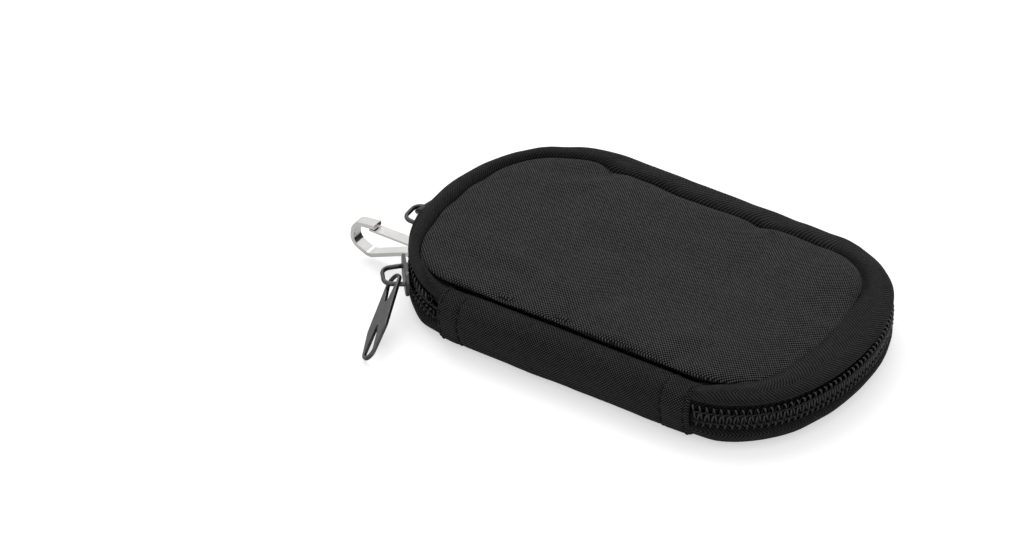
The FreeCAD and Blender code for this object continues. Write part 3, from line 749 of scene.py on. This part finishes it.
def makeCoil(name, side):
    pitch, steps, outerShare = coilForm["pitch"], coilForm["steps"], coilForm["outerShare"]
    inner, outer = coilForm["inner"], coilForm["outer"]
    turns = int((zipEnd - zipStart - 1.0) / pitch)
    start = zipStart + 0.5 + (0 if side > 0 else pitch / 2)
    points = []
    for k in range((turns - 1) * steps + 1):
        turn, part = divmod(k, steps)
        t = part / steps
        shownLeg = min(t * 2, 1.0) * outerShare + max(t * 2 - 1, 0.0) * (1 - outerShare)
        along = start + pitch * (turn + shownLeg)
        head = coilHead(along)
        middle, half = (coilForm["edge"] + head) / 2, (coilForm["edge"] - head) / 2
        rise = middle + half * math.cos(2 * math.pi * t)
        swell = math.sin(2 * math.pi * t)
        inset = (outer + inner) / 2 - (inner - outer) / 2 * math.copysign(abs(swell) ** coilForm["flatness"], swell)
        if swell > 0:
            inset += coilForm["pinch"] * bell(rise, coilForm["sewn"], coilForm["pinchWidth"])
        points.append(coilPoint(along, rise, inset, side))
    return threadRuns(name, [points], coilForm["wire"])


def makeCoilThread(name, side):
    # the row of stitches that holds the coil down on its tape
    strokes = []
    along = zipStart + 0.6
    while along < zipEnd - 1.4:
        strokes.append([coilPoint(along + share * coilForm["pitch"] * coilForm["threadSpan"],
                                  coilForm["sewn"] + rise, inset, side) for share, rise, inset in coilForm["stitch"]])
        along += coilForm["pitch"]
    return threadRuns(name, strokes, coilForm["thread"])


for level, face, side, body in halves:
    coil = dress(makeCoil(level + "CoilTeeth", side), coilNylon)
    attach(coil, body)
    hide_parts(level + "_zipper_coil")
    coilThread = dress(makeCoilThread(level + "CoilTeethThread", side), sewingThread)
    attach(coilThread, body)
print("coils made")


# spine: one cloth down the front, folded under at both ends and stitched
spineForm.update({
    "rows": 52, "step": 0.55, "thickness": 0.5,
    "fold": 0.8,  # radius of the turned ends
    "hookStitches": (-33.5, -28.4),
    "plainStitches": (32.4, 26.3),
    "dents": ((0.2, 0.4), (0.45, 0.6)),  # depth and width along the outer and the inner stitches
    "hem": 0.25,  # the cloth lies double at its ends
    "broad": (0.3, 5.0, 9.0),  # depth, layer, size
    "fine": (0.14, 2.0, 3.2),
    "bendFrom": 1.6,  # either side of the zip
    "stitch": 2.1, "stitchGap": 0.7, "stitchPoints": 160,
    "thread": 0.19,  # radius
})
spineRows = smoothRun([(share * marginFront, rise) for share, rise in spineForm["section"]], spineForm["rows"] + 1)
spineLines = [lineAt(row[0] / marginFront) for row in spineRows]
spineReach = reachAlong((b - a).length for a, b in zip(spineRows, spineRows[1:]))
spineColumns = math.ceil((spineForm["plainEnd"] - spineForm["hookEnd"]) / spineForm["step"])


def spineSpot(x, row):
    margin, rise = spineRows[row]
    across = margin / marginFront
    y = frontY(spineLines[row], x)
    wall = 1 - ease(0.1, 0.5, across)
    draw = 0.0
    for end in (spineForm["hookEnd"], spineForm["plainEnd"]):
        away = abs(x - end)
        if away < spineForm["fold"]:
            draw += spineForm["fold"] * (1 - math.sqrt(max(1 - (1 - away / spineForm["fold"]) ** 2, 0.0)))
    for lines in (spineForm["hookStitches"], spineForm["plainStitches"]):
        for line, (depth, width) in zip(lines, spineForm["dents"]):
            draw += depth * bell(x, line, width)
    hookHem, plainHem = spineForm["hookStitches"][1], spineForm["plainStitches"][1]
    doubled = 1 - ease(hookHem - 0.2, hookHem + 1.0, x) + ease(plainHem - 1.0, plainHem + 0.2, x)
    draw -= spineForm["hem"] * doubled
    soft = ripple(x, rise, *spineForm["broad"]) + ripple(x + rise, rise * 0.5, *spineForm["fine"])
    y += wall * (draw - soft) + (1 - wall) * draw * 0.3
    y += seamDraw(x, y, ease(*seamForm["seamward"], across))
    top = ease(0.3, 0.75, across) * 0.45 * pucker(x, -1)
    return x, y, zipZ + rise - math.copysign(top + (1 - wall) * draw * 0.8, rise)


def spinePlace(column, row):
    return spineSpot(spineForm["hookEnd"] + (spineForm["plainEnd"] - spineForm["hookEnd"]) * column / spineColumns, row)


spine = clothGrid("spineClothPaintedShade", spineColumns, spineForm["rows"], spinePlace,
                  lambda column, row: (spineForm["hookEnd"] + spineForm["step"] * column, spineReach[row]))
dress(spine, spineClothPaintedShade)
thicken(spine, spineForm["thickness"])
foldY = frontY(lineAt(-0.04), 0.0)
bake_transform(spine)
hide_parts("lower_spine_panel", "upper_spine_panel")


def stitchCounts(line, form):
    # points of an even run taken by a stitch and by the gap after it
    step = sum((b - a).length for a, b in zip(line, line[1:])) / (len(line) - 1)
    return round(form["stitch"] / step), round(form["stitchGap"] / step)


def spineStitches():
    strokes = []
    for x in spineForm["hookStitches"] + spineForm["plainStitches"]:
        shown = [Vector(spineSpot(x, row)) for row in range(11, spineForm["rows"] - 2)]
        line = evenRun(shown, spineForm["stitchPoints"])
        long, gap = stitchCounts(line, spineForm)
        for first in range(0, len(line) - long, long + gap):
            stroke = [spot.copy() for spot in line[first:first + long:max(long // 5, 1)]]
            for k, spot in enumerate(stroke):
                spot.y -= 0.13 if 0 < k < len(stroke) - 1 else -0.05  # the ends sink into the cloth
            strokes.append(stroke)
    return strokes


stitches = dress(threadRuns("spineStitches", spineStitches(), spineForm["thread"]), spineThread)
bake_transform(stitches)
print("spine made")


# padded panels: shell cloth over foam, crowned and drawn in along the seam
panelForm = {
    "shares": [  # share to the seam, crown where grooved, crown where flush
        (1.0, 0.0, 0.0), (0.984, 0.40, 0.16), (0.965, 0.64, 0.28), (0.94, 0.80, 0.40), (0.88, 0.92, 0.60),
        (0.74, 0.99, 0.88), (0.52, 1.0, 1.0), (0.0, 1.0, 1.0)],
    "frontRoll": 0.22,  # the front edge rolls down softly
    "frontY": (19, 26),
    "rimFrom": (0.78, 0.95), "rimTo": (0.985, 1.0), "rimPull": 0.75,
    "ripple": (0.18, 4.0, 16.0),  # depth, layer, size
    "rippleTo": (0.9, 1.0),
    "sunk": 0.1,
    "swayFrom": (0.55, 1.0), "overhangFrom": (0.80, 0.96), "overhangTo": (0.984, 1.0),
    "columns": 112, "rows": 72, "thickness": 2.3, "gap": -0.1, "fill": 0.55,
}


def boundaryRuns(line, count, steps=40):
    # the four sides of an outline from corner to corner, each as an even run of points
    runs = lineRuns(line)
    made = []
    for k in (0, 2, 4, 6):
        dense = []
        for index, low, high in ((k - 1, 0.5, 1.0), (k, 0.0, 1.0), (k + 1, 0.0, 0.5)):
            dense += [Vector(runSpot(runs[index], low + (high - low) * j / steps)[0]) for j in range(steps)]
        dense.append(Vector(runSpot(runs[k + 1], 0.5)[0]))
        made.append(evenRun(dense, count))
    return made


def runAt(points, share):
    where = share * (len(points) - 1)
    k = min(int(where), len(points) - 2)
    return points[k].lerp(points[k + 1], where - k)


crownCurve = smoothRun([(share, grooved) for share, grooved, flush in panelForm["shares"]], 200)
flatCurve = smoothRun([(share, flush) for share, grooved, flush in panelForm["shares"]], 200)


def crown(curve, share):
    for a, b in zip(curve, curve[1:]):
        if b.x <= share <= a.x:
            return a.y + (b.y - a.y) * (a.x - share) / max(a.x - b.x, 1e-9)
    return curve[-1].y if share < 0.5 else 0.0


def sheetGrid(name, line, columns, rows, height, turned, drawn=False):
    # a grid drawn out to an outline: each square ring of the grid becomes a ring of the sheet
    sides = boundaryRuns(line, 400)
    middle = Vector(((line[0] + line[1]) / 2, (line[2] + line[3]) / 2))
    long, wide = line[1] - line[0], line[3] - line[2]

    def place(column, row):
        u, v = column / columns * 2 - 1, row / rows * 2 - 1
        ring = max(abs(u), abs(v))
        if ring < 1e-6:
            return middle.x, middle.y, height(middle.x, middle.y, 0.0)
        if abs(v) >= abs(u):
            edge = runAt(sides[0], (u / ring + 1) / 2) if v < 0 else runAt(sides[2], (1 - u / ring) / 2)
        else:
            edge = runAt(sides[1], (v / ring + 1) / 2) if u > 0 else runAt(sides[3], (1 - v / ring) / 2)
        spread = 0.5 * ring + 0.5 * (1 - (1 - ring) ** 1.5)  # rows closer together towards the edge
        x, y = middle + (edge - middle) * spread
        z = height(x, y, spread)
        if not drawn:
            return x, y, z
        out = Vector(((edge.x - middle.x) / long ** 2, (edge.y - middle.y) / wide ** 2)).normalized()
        over = overhang(x, y, out) * ease(*panelForm["overhangFrom"], spread)
        over *= 1 - ease(*panelForm["overhangTo"], spread)
        return x + out.x * over, y + seamDraw(x, y, ease(*panelForm["swayFrom"], spread)) + out.y * over, z
    return clothGrid(name, columns, rows, place, lambda column, row: (column, row), turned=turned, rounded=True)


def padHeight(side):
    def height(x, y, share):
        rolled = max(flushShare(x, y), panelForm["frontRoll"] * ease(*panelForm["frontY"], -y))
        full = crown(crownCurve, share) * (1 - rolled) + crown(flatCurve, share) * rolled
        rise = caseForm["seamRise"] + (caseForm["crownRise"] - caseForm["seamRise"]) * full
        rim = ease(*panelForm["rimFrom"], share) * (1 - ease(*panelForm["rimTo"], share))
        rise -= panelForm["rimPull"] * pucker(x, y) * rim
        if side > 0:
            calm = 1 - ease(*panelForm["rippleTo"], share)
            rise += ripple(x, y, *panelForm["ripple"]) * calm - panelForm["sunk"]
        return zipZ + side * min(rise, caseForm["crownRise"])
    return height


# slack in the shell cloth: a short cloth run with the seam held
clothForm = {"frames": 16, "cap": 0.4}
clothValues = {"quality": 6, "mass": 0.05, "tension_stiffness": 12, "compression_stiffness": 12, "shear_stiffness": 4,
               "bending_stiffness": 1.5, "vertex_group_mass": "seamEdge", "shrink_min": -0.004, "use_pressure": True,
               "uniform_pressure_force": 1.0}


def settle(piece):
    rest = [v.co.copy() for v in piece.data.vertices]
    held = piece.vertex_groups.new(name=clothValues["vertex_group_mass"])
    edges = {}
    for polygon in piece.data.polygons:
        for key in polygon.edge_keys:
            edges[key] = edges.get(key, 0) + 1
    held.add(sorted({index for key, used in edges.items() if used == 1 for index in key}), 1.0, "REPLACE")
    cloth = piece.modifiers.new("padCloth", "CLOTH")
    for label, value in clothValues.items():
        setattr(cloth.settings, label, value)
    cloth.settings.effector_weights.gravity = 0
    cloth.collision_settings.use_collision = False
    cloth.point_cache.frame_start, cloth.point_cache.frame_end = 1, clothForm["frames"]
    for step in range(1, clothForm["frames"] + 1):
        scene.frame_set(step)
    moved = piece.evaluated_get(bpy.context.evaluated_depsgraph_get()).to_mesh()
    settled = [v.co.copy() for v in moved.vertices]
    piece.modifiers.remove(cloth)
    scene.frame_set(1)
    cap = clothForm["cap"] * mm
    most = 0.0
    for v, start, end in zip(piece.data.vertices, rest, settled):
        move = end - start
        most = max(most, move.length)
        if move.length > cap:
            move *= cap / move.length
        v.co = start + move
    print(piece.name, "settled, most", round(most / mm, 2), "mm")


for level, face, side, body in halves:
    pad = sheetGrid(face + "PanelPad", lineAt(1.0, panelForm["gap"]), panelForm["columns"], panelForm["rows"],
                    padHeight(side), side < 0, drawn=True)
    if side > 0:
        settle(pad)
    thicken(pad, panelForm["thickness"])
    pad.modifiers["clothThickness"].edge_crease_outer = 1.0  # the sewn edge stays on the seam
    smoothed = pad.modifiers.new("padSmooth", "SUBSURF")
    smoothed.levels = smoothed.render_levels = 1
    dress(pad, panelCloth)
    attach(pad, body)
    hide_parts(face + "_panel", face + "_foam")
print("panels made")


# linings inside each panel
liningForm = {"inset": 2.96, "rise": 4.68, "thickness": 0.35, "columns": 70, "rows": 44, "wave": 0.10,
              "waveLayer": 11.0, "waveSize": 9.0, "waveTo": (0.92, 1.0)}
liningLine = lineAt(1.0, liningForm["inset"])


def liningHeight(side):
    def height(x, y, share):
        wave = ripple(x, y, liningForm["wave"], liningForm["waveLayer"] * side, liningForm["waveSize"])
        return zipZ + side * (liningForm["rise"] + wave * (1 - ease(*liningForm["waveTo"], share)))
    return height


for level, face, side, body in halves:
    lining = sheetGrid(face + "LiningSheet", liningLine, liningForm["columns"], liningForm["rows"],
                       liningHeight(side), side > 0)
    thicken(lining, liningForm["thickness"])
    dress(lining, liningCloth)
    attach(lining, body)
    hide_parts(face + "_lining")
print("linings made")


# binding folded over each seam's turned edges, inside the case
bindingForm = {
    "section": [  # inset from the seam, rise above the zip
        (1.75, 4.75), (1.72, 4.2), (1.78, 3.75), (2.05, 3.5), (2.5, 3.5), (2.8, 3.75), (2.86, 4.2), (2.84, 4.75)],
    "rows": 14, "rowStep": 0.28, "step": 0.8, "thickness": 0.25,
    "soft": 0.06,
    "softLayer": 0.4,  # for each row
    "softSize": 3.0,
    "stitch": 1.9, "stitchGap": 0.7, "stitchPoints": 1200, "stitchInset": 2.86, "stitchRise": 4.15, "sunk": 0.06,
    "thread": 0.11,  # radius
}
bindingRows = smoothRun(bindingForm["section"], bindingForm["rows"] + 1)
bindingRuns = [lineRuns(lineAt(1.0, row[0])) for row in bindingRows]
bindingStops = []
for index, run in enumerate(lineRuns(seamLine)):
    count = max(round(runLength(run) / bindingForm["step"]), 8)
    bindingStops += [(index, k / count) for k in range(count)]
bindingStops.append((7, 1.0))


def bindingSpot(column, row, side):
    index, share = bindingStops[column]
    x, y = runSpot(bindingRuns[row][index], share)[0]
    soft = ripple(x, y, bindingForm["soft"], row * bindingForm["softLayer"], bindingForm["softSize"])
    return x, y, zipZ + side * (bindingRows[row][1] + soft)


def makeBinding(name, side):
    made = clothGrid(name, len(bindingStops) - 1, bindingForm["rows"],
                     lambda column, row: bindingSpot(column, row, side),
                     lambda column, row: (column * bindingForm["step"], row * bindingForm["rowStep"]),
                     joined=True, turned=side > 0)
    return thicken(made, bindingForm["thickness"])


def bindingStitches(side):
    line = []
    runs = lineRuns(lineAt(1.0, bindingForm["stitchInset"]))
    for index, share in bindingStops:
        (x, y), out = runSpot(runs[index], share)
        line.append(Vector((x - out[0] * bindingForm["sunk"], y - out[1] * bindingForm["sunk"],
                            zipZ + side * bindingForm["stitchRise"])))
    line = evenRun(line, bindingForm["stitchPoints"])
    long, gap = stitchCounts(line, bindingForm)
    return [line[k:k + long + 1:max(long // 3, 1)] for k in range(0, len(line) - long - 1, long + gap)]


for level, face, side, body in halves:
    binding = dress(makeBinding(level + "SeamBinding", side), bindingCloth)
    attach(binding, body)
    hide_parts(level + "_seam_binding")
    bindingThread = threadRuns(level + "SeamBindingStitches", bindingStitches(side), bindingForm["thread"], 0)
    dress(bindingThread, sewingThread)
    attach(bindingThread, body)
print("bindings made")


# hook strap: webbing doubled round the swivel eye's bar and sewn to the lower lining
strapForm = {
    "barX": -38.559, "y": -15.997,
    "wrap": 1.1,  # radius round the bar
    "slope": 25.0, "floor": 4.78, "length": 16.0, "width": 6.8, "thickness": 0.85, "gap": 0.06,
    "columns": 90, "columnStep": 0.5, "rows": 14,
    "boxFrom": 7.6,  # the sewn box, back from the strap's end
    "boxTo": 0.9,
    "boxHalf": 2.6,
    "stitch": 1.7,
    "thread": 0.14,  # radius
}
strapTurn = math.radians(strapForm["slope"])
strapAhead = Vector((-math.cos(strapTurn), math.sin(strapTurn)))
strapBelow = Vector((-math.sin(strapTurn), -math.cos(strapTurn)))
strapBar = Vector((strapForm["barX"], zipZ))
lowRun = (strapBar.y + strapBelow.y * strapForm["wrap"] - strapForm["floor"]) / strapAhead.y
highRun = (strapBar.y - strapBelow.y * strapForm["wrap"] - strapForm["floor"] - strapForm["gap"]) / strapAhead.y
strapEnd = Vector((strapForm["barX"] + strapForm["length"], strapForm["floor"]))
lowFoot = strapBar + strapBelow * strapForm["wrap"] - strapAhead * lowRun
highFoot = strapBar - strapBelow * strapForm["wrap"] - strapAhead * highRun
strapPath = [strapEnd + (lowFoot - strapEnd) * k / 8 for k in range(8)]
strapPath += [lowFoot + Vector((-0.8, 0.12)), lowFoot + strapAhead * 1.6]
strapPath += [strapBar + strapBelow * strapForm["wrap"] + strapAhead * k for k in (-2.0, -0.9)]
for turnedBy in range(0, 181, 20):
    angle = math.radians(turnedBy)
    strapPath.append(strapBar + (strapBelow * math.cos(angle) + strapAhead * math.sin(angle)) * strapForm["wrap"])
strapPath += [strapBar - strapBelow * strapForm["wrap"] - strapAhead * k for k in (0.9, 2.0, 4.0)]
strapPath += [highFoot + strapAhead * 1.6, highFoot + Vector((0.9, 0.1))]
strapBack = strapEnd + Vector((0, strapForm["gap"]))
strapPath += [highFoot + (strapBack - highFoot) * k / 6 for k in range(2, 7)]
strapLine = smoothRun(strapPath, strapForm["columns"] + 1)


def strapPlace(column, row):
    spot = strapLine[column]
    return spot.x, strapForm["y"] + strapForm["width"] * (row / strapForm["rows"] - 0.5), spot.y


def strapRun(column, row):
    return column * strapForm["columnStep"], row * strapForm["width"] / strapForm["rows"]


strap = clothGrid("hookStrapWebbing", strapForm["columns"], strapForm["rows"], strapPlace, strapRun)
thicken(strap, strapForm["thickness"])
dress(strap, strapCloth)
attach(strap, "base")
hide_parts("hook_strap")


def strapStitches():
    # a sewn box with a cross in it
    top = strapForm["floor"] + strapForm["gap"] + strapForm["thickness"] + 0.02
    low, high = strapEnd.x - strapForm["boxFrom"], strapEnd.x - strapForm["boxTo"]
    near, far = strapForm["y"] - strapForm["boxHalf"], strapForm["y"] + strapForm["boxHalf"]
    a, b, c, d = [Vector((*corner, top)) for corner in ((low, near), (high, near), (high, far), (low, far))]
    raised = [Vector((0, 0, height)) for height in (-0.1, 0.05, 0.08)]
    strokes = []
    for start, end in ((a, b), (b, c), (c, d), (d, a), (a, c), (d, b)):
        count = max(round((end - start).length / strapForm["stitch"]), 2)
        for k in range(count):
            first, last = start.lerp(end, (k + 0.1) / count), start.lerp(end, (k + 0.85) / count)
            middle = (first + last) / 2 + raised[2]
            strokes.append([first + raised[0], first.lerp(middle, 0.4) + raised[1], middle,
                            last.lerp(middle, 0.4) + raised[1], last + raised[0]])
    return strokes


strapThread = dress(threadRuns("hookStrapStitches", strapStitches(), strapForm["thread"], 0), sewingThread)
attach(strapThread, "base")
print("strap made")


# metal pieces keep the frame's shapes
for material, nodes in ((sliderEnamel, ("near_slider_body", "far_slider_body")),
                        (pullEnamel, ("near_slider_bail", "far_slider_bail", "near_pull_tab", "far_pull_tab")),
                        (brightNickel, ("hook_frame", "hook_gate", "hook_barrel", "swivel_eye"))):
    for node in nodes:
        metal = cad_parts[node].data
        metal.materials.clear()
        metal.materials.append(material)
print("metal finished")


# studio: pale floor, soft light, the camera of the photograph
studioForm = {"floorSize": 6.0, "floorDrop": 0.05, "floorTone": 0.86, "floorRough": 0.9, "floorGlow": 0.54,
              "worldTone": 0.54, "lampSize": 0.7, "keyPower": 2.8, "keyPlace": (-0.35, 0.3, 0.82),
              "fillPower": 0.5, "fillPlace": (0.6, -0.6, 0.5)}
bm = bmesh.new()
bmesh.ops.create_grid(bm, x_segments=4, y_segments=4, size=studioForm["floorSize"] / 2)
floorMove = (0, 0, -studioForm["floorDrop"] * mm)  # just clear of the cloth that lies on it
bmesh.ops.translate(bm, verts=bm.verts[:], vec=floorMove)
floor = finishMesh(bm, "studioFloor")
floorPaper, floorTree, floorShader = newMaterial("studioFloorPaper")
feed(floorTree, floorShader, {"Base Color": (*[studioForm["floorTone"]] * 3, 1.0),
                             "Roughness": studioForm["floorRough"], "Specular IOR Level": 0.0})
floorPath = newNode(floorTree, "ShaderNodeLightPath", {})
seenGlow = calc(floorTree, "MULTIPLY", floorPath["Is Camera Ray"], studioForm["floorGlow"])
floorGlow = newNode(floorTree, "ShaderNodeEmission", {"Strength": seenGlow})
floorSum = floorTree.nodes.new("ShaderNodeAddShader")
floorTree.links.new(floorShader.outputs[0], floorSum.inputs[0])
floorTree.links.new(floorGlow[0], floorSum.inputs[1])
floorTree.links.new(floorSum.outputs[0], floorTree.nodes["Material Output"].inputs["Surface"])
floor.data.materials.append(floorPaper)

world = bpy.data.worlds.new("studioWorld")
scene.world = world
world.use_nodes = True
worldTree = world.node_tree
background = worldTree.nodes["Background"]
background.inputs["Color"].default_value = (1, 1, 1, 1)
worldPath = worldTree.nodes.new("ShaderNodeLightPath")
seenWhite = calc(worldTree, "MAXIMUM", worldPath.outputs["Is Camera Ray"], worldPath.outputs["Is Glossy Ray"])
seenWhite = calc(worldTree, "MAXIMUM", seenWhite, worldPath.outputs["Is Transmission Ray"])
worldTree.links.new(span(worldTree, seenWhite, studioForm["worldTone"], 1.0), background.inputs["Strength"])


def addLamp(name, place, power, size):
    lamp = bpy.data.lights.new(name, "AREA")
    lamp.energy = power
    lamp.size = size
    holder = bpy.data.objects.new(name, lamp)
    scene.collection.objects.link(holder)
    holder.location = place
    holder.rotation_mode = "QUATERNION"
    holder.rotation_quaternion = Vector(place).to_track_quat("Z", "Y")


addLamp("keyLamp", studioForm["keyPlace"], studioForm["keyPower"], studioForm["lampSize"])
addLamp("fillLamp", studioForm["fillPlace"], studioForm["fillPower"], studioForm["lampSize"])

cameraForm = {"turn": 33.58, "rise": 35.31, "distance": 1215.8, "right": 31.16, "up": -10.0, "lens": 185.0}
turn, lifted = math.radians(cameraForm["turn"]), math.radians(cameraForm["rise"])
backWay = Vector((math.sin(turn) * math.cos(lifted), -math.cos(turn) * math.cos(lifted), math.sin(lifted)))
rightWay = Vector((math.cos(turn), math.sin(turn), 0))
upWay = backWay.cross(rightWay)
camera = bpy.data.objects.new("studioCamera", bpy.data.cameras.new("studioCamera"))
scene.collection.objects.link(camera)
camera.data.lens, camera.data.sensor_width = cameraForm["lens"], 36
camera.data.clip_start, camera.data.clip_end = 0.05, 20
turned = Matrix((rightWay, upWay, backWay)).transposed().to_4x4()
turned.translation = (backWay * cameraForm["distance"] - rightWay * cameraForm["right"] - upWay * cameraForm["up"]) * mm
camera.matrix_world = turned
scene.camera = camera
scene.view_settings.view_transform = "Standard"
print("studio made")
